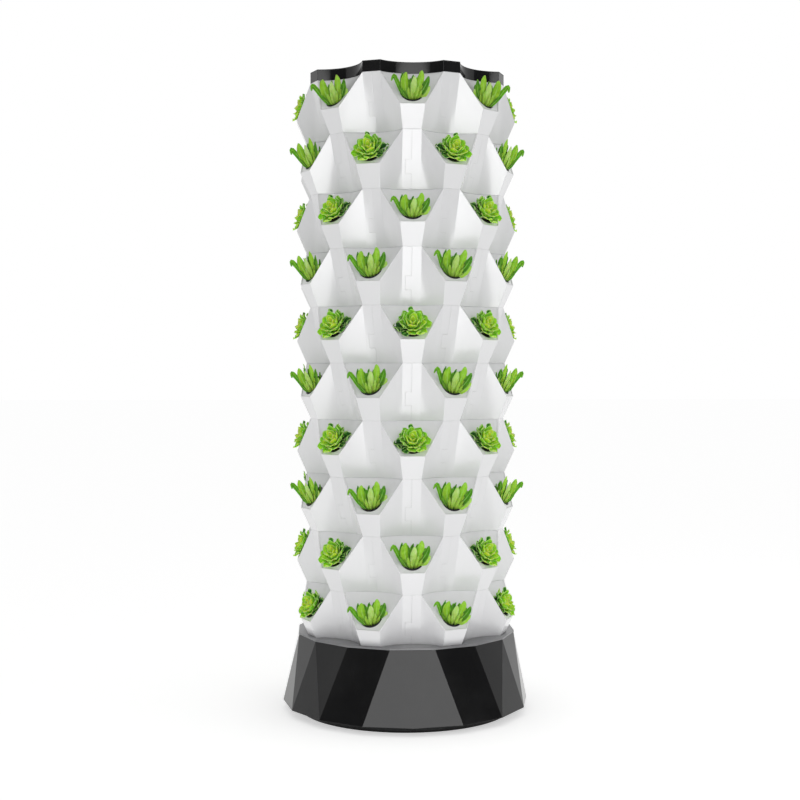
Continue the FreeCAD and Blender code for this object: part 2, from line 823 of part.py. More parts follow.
export("reservoir_tank", reservoir_tank())
export("reservoir_lid", [reservoir_lid()])
export("filler_plug", [filler_plug()])
export("drain_plug", [drain_plug()])
export("drain_seal", [drain_seal()])
export("drain_nut", [drain_nut()])
export("lead_grommet", [lead_grommet()])
export("pump_body", [pump_body()])
export("pump_impeller", [pump_impeller()])
export("pump_strainer", [pump_strainer()])
export("pump_feet", pump_feet())
export("riser_pipes", riser_pipes())
export("riser_coupling", [riser_coupling()])
export("distributor_tray", [distributor_tray()])
export("spray_head", [spray_head()])
export("top_cap", [top_cap()])

# The cup at the front of this layer is a node of its own, and slides out of its hole. The segment
# that holds it is a node of its own too
loose_layer = 5
segment_shape = layer_segment(planting_layer())
cup_shape = net_cup()
plug_shape = grow_plug()
plant_shapes = {True: rosette_plant(), False: upright_plant()}
for layer in range(1, layer_count + 1):
    height = tower_foot + (layer_count - layer) * layer_pitch
    angles = pocket_angles(layer)
    suffix = "_layer_%02d" % layer
    segments = [lifted(turned(segment_shape, angle), height) for angle in angles]
    if layer == loose_layer:
        export("front_segment" + suffix, [segments.pop(angles.index(0))])
    export("planting" + suffix, segments)
    cups = []
    plugs = []
    plants = []
    for angle in angles:
        cup = lifted(hole_frame(cup_shape, angle), height)
        plug = lifted(hole_frame(plug_shape, angle), height)
        plant = lifted(hole_frame(plant_shapes[is_rosette(layer, angle)], angle), height)
        if layer == loose_layer and angle == 0:
            export("loose_net_cup", [cup])
            export("loose_grow_plug", [plug])
            export("loose_plant", [plant])
        else:
            cups.append(cup)
            plugs.append(plug)
            plants.append(plant)
    export("net_cups" + suffix, cups)
    export("grow_plugs" + suffix, plugs)
    export("plants" + suffix, plants)
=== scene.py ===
# %% [markdown]
# # A vertical planter tower
# The tower is ten white moulded layers on a black faceted water tank, under a black scalloped cap.
# The imported model already holds every hard piece at its true size, so it is loaded as a fixed frame.
# What is left for Blender is the finish of each plastic, the salad in the pots, and the studio.
# Loading the frame first, and measuring it at once, gives the box of the imported pieces.

# %% Load the imported model
import json
import math
import random
import bmesh
import bpy
from mathutils import Matrix, Vector


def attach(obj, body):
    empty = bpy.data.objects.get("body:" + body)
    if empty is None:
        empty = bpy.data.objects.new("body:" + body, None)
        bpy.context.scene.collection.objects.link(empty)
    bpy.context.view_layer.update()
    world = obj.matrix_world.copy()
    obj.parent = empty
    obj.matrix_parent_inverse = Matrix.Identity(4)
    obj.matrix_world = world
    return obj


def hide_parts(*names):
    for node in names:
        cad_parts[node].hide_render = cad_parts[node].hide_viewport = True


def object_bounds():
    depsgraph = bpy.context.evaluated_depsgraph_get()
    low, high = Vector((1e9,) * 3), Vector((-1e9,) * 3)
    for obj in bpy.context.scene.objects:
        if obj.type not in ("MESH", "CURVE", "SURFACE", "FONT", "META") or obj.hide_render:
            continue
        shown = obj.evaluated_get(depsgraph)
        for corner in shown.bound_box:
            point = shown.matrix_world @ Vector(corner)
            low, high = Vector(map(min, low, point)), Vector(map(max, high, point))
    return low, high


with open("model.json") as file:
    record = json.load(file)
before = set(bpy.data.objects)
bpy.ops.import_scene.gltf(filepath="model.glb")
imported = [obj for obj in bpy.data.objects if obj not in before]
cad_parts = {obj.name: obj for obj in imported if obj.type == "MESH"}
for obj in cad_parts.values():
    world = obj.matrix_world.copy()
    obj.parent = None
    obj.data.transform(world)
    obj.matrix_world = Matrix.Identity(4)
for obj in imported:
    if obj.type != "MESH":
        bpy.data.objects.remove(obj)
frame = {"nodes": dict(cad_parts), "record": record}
packed_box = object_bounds()
scene = bpy.context.scene
print(len(frame["nodes"]), "nodes, box", [tuple(round(v, 4) for v in corner) for corner in packed_box])

# %% [markdown]
# ## Camera
# The photograph looks at the tower from a little under half its height, almost square on, with a
# mild long lens. The place and the lens were found by fitting the seams between the layers to the
# photograph. A fitted camera is worth the trouble, because every later comparison depends on it.

# %% Camera
lens = bpy.data.cameras.new("camera")
lens.lens = 63.13
lens.sensor_width = 36.0
lens.clip_start = 0.05
lens.clip_end = 200.0
camera = bpy.data.objects.new("camera", lens)
camera.location = (-0.25717, -4.13368, 1.0029)
camera.rotation_euler = (math.radians(90) - 0.023, 0.0, -0.0582)
scene.collection.objects.link(camera)
scene.camera = camera
scene.view_settings.view_transform = "Standard"
print("lens", lens.lens, "mm, distance", round(camera.location.length, 3), "m")

# %% [markdown]
# ## Writing shaders as sums
# A finish is easier to read as an expression than as a web of nodes. One small class wraps a socket,
# so that 1 - mask or height * 0.3 adds its own Math nodes. Every other node comes from one method,
# which sets the node's options first and then its sockets, from numbers or from other sockets.

# %% A socket that can be added and multiplied
class Wire:
    """One output socket of a material, with arithmetic."""

    def __init__(self, tree, socket=None):
        self.tree = tree
        self.socket = socket

    def node(self, kind, settings=None, values=None, output=0):
        """Add a node: its options first, then its sockets, and wrap one of its outputs."""
        made = self.tree.nodes.new(kind)
        for name, value in (settings or {}).items():
            if name == "stops":
                fill_ramp(made.color_ramp, value)
            else:
                setattr(made, name, value)
        for name, value in (values or {}).items():
            if isinstance(value, Wire):
                self.tree.links.new(value.socket, made.inputs[name])
            else:
                made.inputs[name].default_value = value
        return Wire(self.tree, made.outputs[output] if made.outputs else None)

    def maths(self, operation, *values, clamp=False):
        settings = {"operation": operation, "use_clamp": clamp}
        return self.node("ShaderNodeMath", settings, dict(enumerate(values)))

    def __add__(self, other):
        return self.maths("ADD", self, other)

    def __radd__(self, other):
        return self.maths("ADD", other, self)

    def __sub__(self, other):
        return self.maths("SUBTRACT", self, other)

    def __rsub__(self, other):
        return self.maths("SUBTRACT", other, self)

    def __mul__(self, other):
        return self.maths("MULTIPLY", self, other)

    def size(self):
        return self.maths("ABSOLUTE", self)

    def band(self, low, high):
        """0 below low and 1 above high, with an even rise between them."""
        values = {"Value": self, "From Min": low, "From Max": high}
        return self.node("ShaderNodeMapRange", {"clamp": True}, values)

    def blend(self, first, second):
        """First colour where this is 0, second where it is 1."""
        settings = {"data_type": "RGBA", "clamp_factor": True}
        return self.node("ShaderNodeMix", settings, {0: self, 6: first, 7: second}, output=2)


def fill_ramp(ramp, stops):
    while len(ramp.elements) < len(stops):
        ramp.elements.new(1.0)
    for element, (place, colour) in zip(ramp.elements, stops):
        element.position = place
        element.color = colour


def linear(red, green, blue):
    """A colour read from a picture, 0 to 255, as the shader's linear light."""
    shares = [value / 255 for value in (red, green, blue)]
    return tuple(s / 12.92 if s <= 0.04045 else ((s + 0.055) / 1.055) ** 2.4 for s in shares) + (1.0,)


print("mid grey", [round(value, 3) for value in linear(128, 128, 128)])

# %% [markdown]
# ## Starting a finish
# All plastics and leaves use the Principled shader. Numbers that are the same all over go straight
# onto its sockets. Wires are only for what changes over the surface, such as colour, roughness and
# the bump of the grain.

# %% Start and close a finish
def start_finish(name):
    """A new material and a Wire to begin its expressions with."""
    finish = bpy.data.materials.new(name)
    finish.use_nodes = True
    finish.node_tree.nodes.clear()
    return finish, Wire(finish.node_tree)


def close_finish(wire, values):
    """Principled shader from numbers and wires, joined to the output."""
    shader = wire.node("ShaderNodeBsdfPrincipled", None, values)
    wire.node("ShaderNodeOutputMaterial", None, {"Surface": shader})


def place(wire, stretch=(1.0, 1.0, 1.0)):
    """Object coordinates, in metres, stretched for a pattern that runs one way."""
    spot = wire.node("ShaderNodeTexCoord", output=3)
    return wire.node("ShaderNodeMapping", None, {"Vector": spot, "Scale": stretch})


def noise(wire, spot, scale, detail=2.0):
    values = {"Vector": spot, "Scale": scale, "Detail": detail}
    return wire.node("ShaderNodeTexNoise", None, values)


def grain(wire, height, depth, normal=None):
    """Bump of a given depth in metres."""
    values = {"Height": height, "Distance": depth}
    if normal is not None:
        values["Normal"] = normal
    return wire.node("ShaderNodeBump", None, values)


def soft_edge(wire, radius):
    """Normals rounded over an edge, as a moulded corner is."""
    return wire.node("ShaderNodeBevel", {"samples": 6}, {"Radius": radius})


print("finishes start from", bpy.app.version_string)

# %% [markdown]
# ## White layers
# The layers are blow-moulded or injected white plastic: glossy, a little soft in its reflections,
# with slow waves where the wall cooled unevenly and a very fine grain. The waves matter most, since
# a dead flat gloss looks like glass. Corners of a moulding are never sharp, so the normals are
# rounded over two millimetres, which catches a little light along every edge.

# %% White layer finish
def white_layer_finish():
    finish, wire = start_finish("layer_white")
    spot = place(wire)
    waves = noise(wire, spot, 7.0)
    grit = noise(wire, spot, 900.0)
    dust = noise(wire, spot, 9.0, 5.0).band(0.40, 0.85)
    height = waves * 0.5 + grit * 0.01
    close_finish(wire, {
        "Base Color": (dust * 0.3).blend((0.82, 0.82, 0.83, 1.0), (0.77, 0.77, 0.775, 1.0)),
        "Roughness": waves * 0.08 + dust * 0.05 + 0.14,
        "IOR": 1.6,
        "Normal": grain(wire, height, 0.0005, soft_edge(wire, 0.0022))})
    return finish


white_plastic = white_layer_finish()
print(white_plastic.name, len(white_plastic.node_tree.nodes), "nodes")

# %% [markdown]
# ## Black gloss
# The tank and the cap are black and almost mirror-like, so their look is nearly all reflection. The
# colour is close to nothing, and faint hairlines and handling marks in the roughness stop the facets
# from looking like black glass. One function makes every black plastic, since only the gloss and the
# size of the grain change from the tank to the matt cups. The cap's flat top, down to its shallow step,
# is matt, as a surface is that collects dust, so it doesn't mirror the studio when seen from behind.

# %% Black plastics
cap_top = packed_box[1][2]
matt_depth = 0.002


def black_finish(name, shade, roughness, wear, grain_scale, grain_depth, edge=0.0012, matt_top=0.0):
    """Black plastic: shade, roughness, what wear and a matt top add to it, and its grain."""
    finish, wire = start_finish(name)
    spot = place(wire)
    hairs = noise(wire, place(wire, (1.0, 1.0, 0.06)), 240.0, 3.0).band(0.55, 0.8)
    marks = noise(wire, spot, 7.0, 6.0).band(0.45, 0.75)
    grit = noise(wire, spot, grain_scale)
    deep = (shade, shade, shade * 1.04, 1.0)
    dusty = (shade * 1.9 + 0.004, shade * 1.9 + 0.004, shade * 1.9 + 0.004, 1.0)
    dullness = roughness + marks * wear + hairs * (wear * 0.4)
    if matt_top:
        height = wire.node("ShaderNodeSeparateXYZ", None, {"Vector": spot}, output=2)
        start = cap_top - matt_depth
        dullness = dullness + height.band(start - 0.0002, start + 0.0002) * matt_top
    close_finish(wire, {
        "Base Color": (marks * 0.5 + hairs * 0.1).blend(deep, dusty),
        "Roughness": dullness,
        "IOR": 1.31,
        "Normal": grain(wire, grit, grain_depth, soft_edge(wire, edge))})
    return finish


tank_black = black_finish("tank_black", 0.010, 0.06, 0.05, 300.0, 0.00001)
cap_black = black_finish("cap_black", 0.013, 0.09, 0.05, 300.0, 0.00001, matt_top=0.5)
# The lid's shade is far lighter than the other blacks: a painted reflection of the white backdrop that
# its flat top mirrors at a grazing angle.
lid_black = black_finish("lid_black", 0.17, 0.28, 0.10, 500.0, 0.00004)
cup_black = black_finish("cup_black", 0.008, 0.42, 0.15, 700.0, 0.00008, 0.0006)
pump_black = black_finish("pump_black", 0.014, 0.38, 0.12, 900.0, 0.00006)
blacks = (tank_black, cap_black, lid_black, cup_black, pump_black)
print("black plastics", [finish.name for finish in blacks])

# %% [markdown]
# ## Rubber, sponge, pipe and impeller
# These pieces sit inside the tower or at its back. Rubber is matt and a little dusty. The grow plugs
# are open-celled sponge, which a cell pattern gives: the cell walls stand up, and the hollows get
# painted shade.
# Extruded pipe shows faint lines along its length, so its noise is stretched upwards.

# %% Rubber and sponge
def rubber_finish():
    finish, wire = start_finish("rubber_black")
    dust = noise(wire, place(wire), 120.0, 5.0)
    close_finish(wire, {
        "Base Color": dust.band(0.4, 0.8).blend((0.012, 0.012, 0.012, 1.0), (0.035, 0.034, 0.033, 1.0)),
        "Roughness": dust * 0.25 + 0.55,
        "Normal": grain(wire, dust, 0.0002, soft_edge(wire, 0.0006))})
    return finish


def sponge_finish():
    finish, wire = start_finish("sponge_dark")
    cells = wire.node("ShaderNodeTexVoronoi", None, {"Vector": place(wire), "Scale": 700.0})
    damp = noise(wire, place(wire), 60.0, 4.0)
    walls = cells.band(0.15, 0.6)
    close_finish(wire, {
        # Painted shade: the hollows between the cell walls are coloured dark. The damp noise darkens it
        # further at random.
        "Base Color": (walls * damp).blend((0.006, 0.005, 0.004, 1.0), (0.07, 0.055, 0.04, 1.0)),
        "Roughness": 0.95 - damp * 0.2,
        "Normal": grain(wire, walls, 0.0009)})
    return finish


rubber_black = rubber_finish()
sponge_dark = sponge_finish()
print(rubber_black.name, sponge_dark.name)

# %% Pipe, tray and impeller
def moulded_finish(name, colour, roughness, stretch):
    """Plain inside moulding: fine lines along the stretch and a little uneven gloss."""
    finish, wire = start_finish(name)
    lines = noise(wire, place(wire, stretch), 400.0, 3.0)
    cloud = noise(wire, place(wire), 14.0, 4.0)
    darker = tuple(value * 0.86 for value in colour[:3]) + (1.0,)
    close_finish(wire, {
        "Base Color": cloud.band(0.4, 0.7).blend(colour, darker),
        "Roughness": roughness + lines * 0.12,
        "Normal": grain(wire, lines, 0.00008, soft_edge(wire, 0.0006))})
    return finish


pipe_white = moulded_finish("pipe_white", (0.78, 0.78, 0.77, 1.0), 0.30, (1.0, 1.0, 0.03))
tray_white = moulded_finish("tray_white", (0.80, 0.80, 0.80, 1.0), 0.34, (1.0, 1.0, 1.0))
impeller_grey = moulded_finish("impeller_grey", (0.30, 0.31, 0.33, 1.0), 0.38, (1.0, 0.2, 1.0))
print(pipe_white.name, tray_white.name, impeller_grey.name)

# %% [markdown]
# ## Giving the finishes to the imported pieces
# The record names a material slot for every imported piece, so one look-up table dresses the whole
# tower. Assigning to the object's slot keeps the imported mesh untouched.

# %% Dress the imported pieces
slot_finishes = {
    "layer_white": white_plastic, "tank_black": tank_black, "lid_black": lid_black,
    "cap_black": cap_black, "cup_black": cup_black, "sponge_dark": sponge_dark,
    "rubber_black": rubber_black, "pump_black": pump_black, "impeller_grey": impeller_grey,
    "pipe_white": pipe_white, "tray_white": tray_white}
dressed = 0
for part in frame["record"]["subparts"]:
    if part["material_slot"] in slot_finishes:
        frame["nodes"][part["node"]].material_slots[0].material = slot_finishes[part["material_slot"]]
        dressed += 1
print(dressed, "packed pieces dressed")

# %% [markdown]
# ## Where the pots are
# Every plant is modelled once, in its pot's own frame, and then carried to its place. The numbers are
# those of the layer: a pot every 45 degrees, a layer every 160 mm, each turned by half a step, and a
# hole in a face that leans back. Working them out again is surer than guessing from the picture.

# %% The pot's frame
layer_count = 10
pot_count = 8
layer_pitch = 0.160
tower_foot = 0.216
lip_distance = 0.3185
lip_height = 0.064
scallop_distance = 0.244
hole_up_slope = 0.0442
pot_step = math.radians(360 / pot_count)
face_lean = math.atan2(layer_pitch - lip_height, lip_distance - scallop_distance)


def pot_frame(layer, turn):
    """From a hole's own axes, Z out of the hole and Y up the slope, to the tower's."""
    out = lip_distance - hole_up_slope * math.cos(face_lean)
    height = lip_height + hole_up_slope * math.sin(face_lean)
    foot = tower_foot + (layer_count - layer) * layer_pitch
    place_in_layer = Matrix.Translation((0, -out, foot + height))
    return Matrix.Rotation(turn, 4, "Z") @ place_in_layer @ Matrix.Rotation(face_lean, 4, "X")


def pot_turns(layer):
    """Pot angles of a layer, from minus to plus half a turn, counted from the front."""
    first = 0.0 if layer % 2 else pot_step / 2
    turns = [first + step * pot_step for step in range(pot_count)]
    return [turn - math.tau if turn > math.pi + 0.01 else turn for turn in turns]


print("face leans", round(math.degrees(face_lean), 1), "degrees; front pot at",
      [round(v, 3) for v in pot_frame(1, 0.0).translation])

# %% [markdown]
# ## One leaf
# A leaf is a thin sheet that follows a bent midrib. It starts as a small grid, which already has the
# right faces and a UV map along the leaf, and each of its points is then moved: along a curve from the
# root to the tip, sideways by the outline's width, and up or down for the hollow of the blade and the
# ruffle of its margin. The points crowd together near the tip, where the outline bends most, and stop
# just short of it, so that no face shrinks to nothing. A modifier gives the thickness later. One
# function serves both kinds of salad.

# %% Bend a grid into a leaf
def along(points, share):
    """Point and direction on the cubic curve of a leaf's midrib."""
    a, b, c, d = (Vector(point) for point in points)
    rest = 1 - share
    spot = a * rest ** 3 + b * 3 * rest ** 2 * share + c * 3 * rest * share ** 2 + d * share ** 3
    way = (b - a) * rest ** 2 + (c - b) * 2 * rest * share + (d - c) * share ** 2
    return spot, way.normalized()


def outline(share, foot, swell, widest, point):
    """Half width of a blade, as a share: a stalk, widest part way, then round or pointed."""
    rise = math.sin(min(share / widest, 1.0) * math.pi / 2) ** swell
    fall = max((share - widest) / (1 - widest), 0.0)
    return (foot + (1 - foot) * rise) * (1 - fall ** point) ** 0.5


tip_share = 0.98
tip_crowding = 1.3
# Share of a leaf's tone kept at its root: painted shade where the leaves crowd together.
painted_root_shade = 0.55
millimetre = 0.001


def add_leaf(bm, midrib, width, facing, hollow, ruffle, tone, grid_size, shape, seed):
    """Add one leaf, in millimetres, to a bmesh. Painted shade makes it darkest at its root."""
    chance = random.Random(seed)
    phase = chance.uniform(0, math.tau)
    waves = chance.uniform(1.6, 2.4)
    tone_layer = bm.verts.layers.float["tone"]
    grid = bmesh.ops.create_grid(
        bm, x_segments=grid_size[0], y_segments=grid_size[1], size=0.5, calc_uvs=True)
    facing = Vector(facing).normalized()
    for vert in grid["verts"]:
        across = vert.co.x * 2
        share = tip_share * (1 - (0.5 - vert.co.y) ** tip_crowding)
        spot, way = along(midrib, share)
        side = facing.cross(way).normalized()
        face = way.cross(side)
        half = width / 2 * outline(share, *shape)
        ripple = ruffle * abs(across) ** 1.5 * (0.3 + share)
        crest = math.sin(waves * math.tau * share + phase + across)
        lift = hollow * half * across ** 2 + ripple * crest
        sway = ripple * 0.5 * math.cos(waves * 1.7 * math.tau * share + phase)
        tip_round = 0.6 * half * across ** 2 * share ** 3
        vert.co = (spot + side * (across * half + sway) + face * lift - way * tip_round) * millimetre
        # Painted shade: the tone falls towards the root, where neighbouring leaves would shade it.
        vert[tone_layer] = tone * (painted_root_shade + (1 - painted_root_shade) * share)
    return grid["verts"]


print("outline", [round(outline(share, 0.3, 1.6, 0.6, 1.8), 2) for share in (0.1, 0.5, 0.95)])

# %% [markdown]
# ## Upright salad
# The upright salad is a sheaf of lance-shaped leaves that spring from one root and fan out sideways,
# each with a pale midrib. Its outline in the photograph is the same in every pot, so the leaves are
# placed one by one from a table: root, two bends, tip, width, and the way the blade faces. The sheaf
# leans out of the tower by 20 degrees.

# %% Upright leaves
upright_lean = math.radians(20.0)
upright_grid = (4, 11)
upright_outline = (0.52, 1.1, 0.56, 2.1)
upright_ruffle = 0.7
upright_fullness = 1.15
upright_leaves = [
    ((-3, 6, 0), (-8, 14, 18), (-12, 18, 34), (-14, 18, 50), 14, (0.1, -1, 0.3), 0.30, 0.25),
    ((5, 6, 0), (10, 14, 18), (14, 18, 34), (15, 18, 52), 14, (-0.1, -1, 0.3), 0.30, 0.22),
    ((0, 8, 0), (2, 18, 14), (2, 26, 28), (0, 30, 44), 14, (0, -1, 0.5), 0.30, 0.30),
    ((-8, 4, 0), (-20, 10, 14), (-28, 14, 28), (-32, 14, 42), 12, (0.3, -1, 0.3), 0.30, 0.15),
    ((9, 4, 0), (22, 10, 12), (30, 12, 26), (35, 12, 44), 12, (-0.3, -1, 0.3), 0.30, 0.20),
    ((-9, -2, 0), (-34, -3, 2), (-50, -6, 88), (-56, -10, 42), 11, (0.5, -1, 0.2), 0.45, 0.20),
    ((-8, 2, 0), (-26, 2, 10), (-32, 0, 38), (-27, -2, 65), 9, (0.3, -1, 0), 0.35, 0.02),
    ((1, 4, 0), (0, 6, 20), (-4, 6, 40), (3, 5, 59), 8, (0.1, -1, 0), 0.30, 0.00),
    ((0, -1, 0), (-3, -2, 18), (-6, -3, 34), (-6, -3, 52), 10, (0, -1, 0), 0.35, 0.10),
    ((-7, -4, 0), (-16, -8, 16), (-25, -10, 44), (-17, -9, 67), 20, (0.35, -1, 0), -0.30, 0.45),
    ((6, -4, 0), (12, -8, 22), (22, -8, 46), (23, -6, 71), 18, (-0.1, -1, 0), -0.25, 0.52),
    ((9, -4, 0), (18, -6, 14), (36, -7, 30), (42, -7, 58), 16, (-0.3, -1, 0), 0.30, 0.02),
    ((2, -7, 0), (2, -12, 18), (2, -14, 38), (6, -12, 58), 15, (0, -1, 0), -0.30, 0.92),
    ((12, -8, 0), (22, -10, 6), (36, -11, 14), (45, -11, 35), 11, (0, -1, 0.4), -0.30, 0.72),
    ((-10, -8, 0), (-18, -10, 8), (-26, -11, 18), (-31, -11, 31), 8, (0.4, -1, 0.2), 0.30, 0.12),
    ((-5, -9, -2), (-8, -13, 8), (-11, -14, 18), (-12, -14, 31), 7, (0, -1, 0), -0.30, 0.62),
    ((0, -10, -2), (-1, -14, 8), (-3, -15, 18), (-3, -14, 33), 6, (0, -1, 0), -0.30, 0.80),
    ((7, -9, -2), (9, -13, 8), (12, -14, 20), (15, -13, 34), 7, (0, -1, 0), -0.30, 0.70),
    ((11, -8, -2), (15, -11, 6), (20, -12, 14), (24, -12, 25), 6, (0, -1, 0.2), -0.30, 0.60)]


def new_plant_mesh():
    bm = bmesh.new()
    bm.loops.layers.uv.new("UVMap")
    bm.verts.layers.float.new("tone")
    return bm


def upright_salad():
    bm = new_plant_mesh()
    for number, leaf in enumerate(upright_leaves):
        width, facing, hollow, tone = leaf[4:]
        add_leaf(bm, leaf[:4], width * upright_fullness, facing, hollow, upright_ruffle, tone,
                 upright_grid, upright_outline, number)
    return bm


upright_sheaf = upright_salad()
print("upright salad", len(upright_sheaf.faces), "faces before thickness")

# %% [markdown]
# ## Rosette salad
# The rosette is a loose head: low dark outer leaves, a middle ring that stands up, and a cupped,
# yellow-green heart. Rings of leaves around an axis are what a plant grows, so the table gives each
# leaf a direction, a reach and a height. The margins are ruffled far more than on the upright kind.

# %% Rosette leaves
rosette_lean = math.radians(50.0)
rosette_grid = (8, 11)
rosette_outline = (0.35, 1.0, 0.64, 2.0)
rosette_facing = (-0.6, 0, 1)
rosette_hollow = 0.30
rosette_first_seed = 40
rosette_leaves = [
    (95, 38, 43, 20, 0.04), (128, 42, 30, 36, 0.34), (55, 44, 28, 36, 0.36), (2, 54, 16, 36, 0.46),
    (-40, 50, 12, 36, 0.50), (-82, 40, 12, 38, 0.54), (-128, 46, 8, 34, 0.04), (-170, 55, 9, 36, 0.00),
    (156, 42, 22, 30, 0.22), (28, 46, 22, 28, 0.40),
    (100, 27, 45, 32, 0.38), (45, 32, 36, 32, 0.48), (-8, 38, 26, 34, 0.60), (-62, 32, 24, 34, 0.62),
    (-120, 32, 24, 32, 0.46), (-175, 37, 26, 32, 0.34), (140, 30, 37, 30, 0.36),
    (75, 17, 42, 26, 0.62), (-15, 20, 34, 28, 0.70), (-95, 19, 30, 26, 0.72), (180, 20, 34, 26, 0.62),
    (80, 8, 38, 16, 0.78), (-45, 9, 33, 16, 0.78), (-150, 9, 33, 16, 0.78)]


def rosette_midrib(reach, rise):
    """Midrib in the plane of X and Z, from the root, lying low before it turns up."""
    return (2, 0, -10), (reach * 0.42, 0, rise * 0.1), (reach * 0.85, 0, rise * 0.6), (reach, 0, rise)


def rosette_salad():
    bm = new_plant_mesh()
    for number, (direction, reach, rise, width, tone) in enumerate(rosette_leaves):
        ruffle = 1 + reach * 0.06
        leaf = add_leaf(bm, rosette_midrib(reach, rise), width, rosette_facing, rosette_hollow, ruffle,
                        tone, rosette_grid, rosette_outline, rosette_first_seed + number)
        turned = Matrix.Rotation(math.radians(direction), 3, "Z")
        bmesh.ops.rotate(bm, cent=(0, 0, 0), matrix=turned, verts=leaf)
    return bm


rosette_head = rosette_salad()
print("rosette salad", len(rosette_head.faces), "faces before thickness")

# %% [markdown]
# ## Leaf finish
# A leaf is darker between its veins and pale along its midrib, with side veins that run forward from
# it. The leaf's own UV map gives those directions: U runs across the blade and V from root to tip. The
# tone attribute tells young pale leaves from old dark ones, and it also carries a painted shade that
# darkens each leaf towards its root. The margin is paler than the blade. The blade is thin, so some
# light passes through it, which keeps the heart of the head bright.

# %% Leaf finish
pale_margin = linear(212, 252, 156)
pale_rib = linear(182, 234, 120)
vein_pairs = 9.0


def leaf_finish(name, stops, vein_run, mottle_depth, margin_light):
    """Leaf from a colour ramp over its tone, with a midrib, side veins and a mottled blade."""
    finish, wire = start_finish(name)
    chart = wire.node("ShaderNodeUVMap", {"uv_map": "UVMap"})
    across = wire.node("ShaderNodeSeparateXYZ", None, {"Vector": chart}, output=0) - 0.5
    length = wire.node("ShaderNodeSeparateXYZ", None, {"Vector": chart}, output=1)
    tone = wire.node("ShaderNodeAttribute", {"attribute_name": "tone"}, output=2)
    mottle = noise(wire, place(wire), 95.0, 4.0)
    midrib = 1 - across.size().band(0.03, 0.11)
    run = (length * vein_run - across.size()) * (vein_pairs * math.tau)
    veins = wire.maths("SINE", run).band(0.5, 1.0)
    margin = wire.maths("MAXIMUM", across.size().band(0.36, 0.50), length.band(0.86, 0.99))
    shade = tone + (mottle - 0.5) * mottle_depth + veins * (1 - midrib) * 0.12
    blade = wire.node("ShaderNodeValToRGB", {"stops": stops}, {"Fac": shade})
    edged = (margin * margin_light).blend(blade, pale_margin)
    close_finish(wire, {
        "Base Color": (midrib * 0.6 * (1.15 - length)).blend(edged, pale_rib),
        "Roughness": 0.62 + mottle * 0.15,
        "IOR": 1.20,
        "Subsurface Weight": 0.5,
        "Subsurface Radius": (0.4, 1.0, 0.3),
        "Subsurface Scale": 0.004,
        "Normal": grain(wire, veins * -0.5 + midrib * 0.8 + mottle * 0.6, 0.0006)})
    return finish


upright_green = leaf_finish("leaf_upright", [
    (0.0, linear(60, 116, 4)), (0.2, linear(104, 162, 16)), (0.4, linear(144, 196, 38)),
    (0.65, linear(172, 224, 78)), (1.0, linear(206, 250, 156))], 0.25, 0.5, 0.2)
rosette_green = leaf_finish("leaf_rosette", [
    (0.0, linear(24, 72, 28)), (0.18, linear(76, 150, 34)), (0.36, linear(150, 222, 44)),
    (0.56, linear(196, 250, 60)), (0.75, linear(226, 254, 64)), (1.0, linear(240, 254, 104))],
    1.0, 0.6, 0.8)
print(upright_green.name, rosette_green.name)

# %% [markdown]
# ## Planting the tower
# Whole rows of one kind alternate in the middle of the tower, and rows near both ends mix them.
# Rosettes to the left of the middle and upright plants far to the right are mirrored, as in the
# photograph. A plant at the side is turned about its own stem towards the front, and the upright
# plants of two rows have grown less than the others. Each row is one piece that stands for that row's
# plain plant bodies, and the front plant of the fifth row is apart, because it rides on the cup that
# slides out.

# %% Which plant goes where
def is_rosette(layer, turn):
    """Whether a pot of a layer, at an angle from the front, holds a rosette."""
    side = abs(math.degrees(turn))
    if layer in (1, 10):
        return side > 60
    if layer == 2:
        return side < 45
    if layer in (3, 9):
        return side > 20
    return layer in (5, 7)


plant_kinds = {}
for kind, bm, number in (("upright", upright_sheaf, 0), ("rosette", rosette_head, 1)):
    for face in bm.faces:
        face.material_index = number
        face.smooth = True
    plant_kinds[kind] = bpy.data.meshes.new(kind)
    bm.to_mesh(plant_kinds[kind])
    bm.free()
print({kind: len(mesh.polygons) for kind, mesh in plant_kinds.items()})

# %% How a plant stands in its hole
usual_growth = 1.18
row_growth = {3: 1.0, 10: 1.1}
sheaf_spread = 1.07
sheaf_seat = (0, -0.016, -0.012)
upright_most_turn = 22.5
rosette_most_turn = 35.0
size_spread = (0.97, 1.02)


def towards_front(turn, degrees):
    """Turn about a plant's own stem, towards the front by no more than some degrees."""
    limit = math.radians(degrees)
    return Matrix.Rotation(-max(-limit, min(turn, limit)), 4, "Z")


def upright_stand(layer, turn):
    """From an upright plant's axes to its hole's, with the height that its row has grown to."""
    lean = Matrix.Rotation(upright_lean - face_lean, 4, "X")
    growth = Matrix.Diagonal((sheaf_spread, 1.0, row_growth.get(layer, usual_growth), 1.0))
    return Matrix.Translation(sheaf_seat) @ lean @ towards_front(turn, upright_most_turn) @ growth


def rosette_stand(turn):
    """From a rosette's axes to its hole's."""
    lean = Matrix.Rotation(rosette_lean - face_lean, 4, "X")
    return lean @ towards_front(turn, rosette_most_turn)


def is_mirrored(kind, turn):
    """Whether a pot holds the mirrored plant of its kind."""
    if kind == "rosette":
        return turn < -0.01
    return turn > pot_step * 0.9


print("rows that grew less than usual", sorted(row_growth))

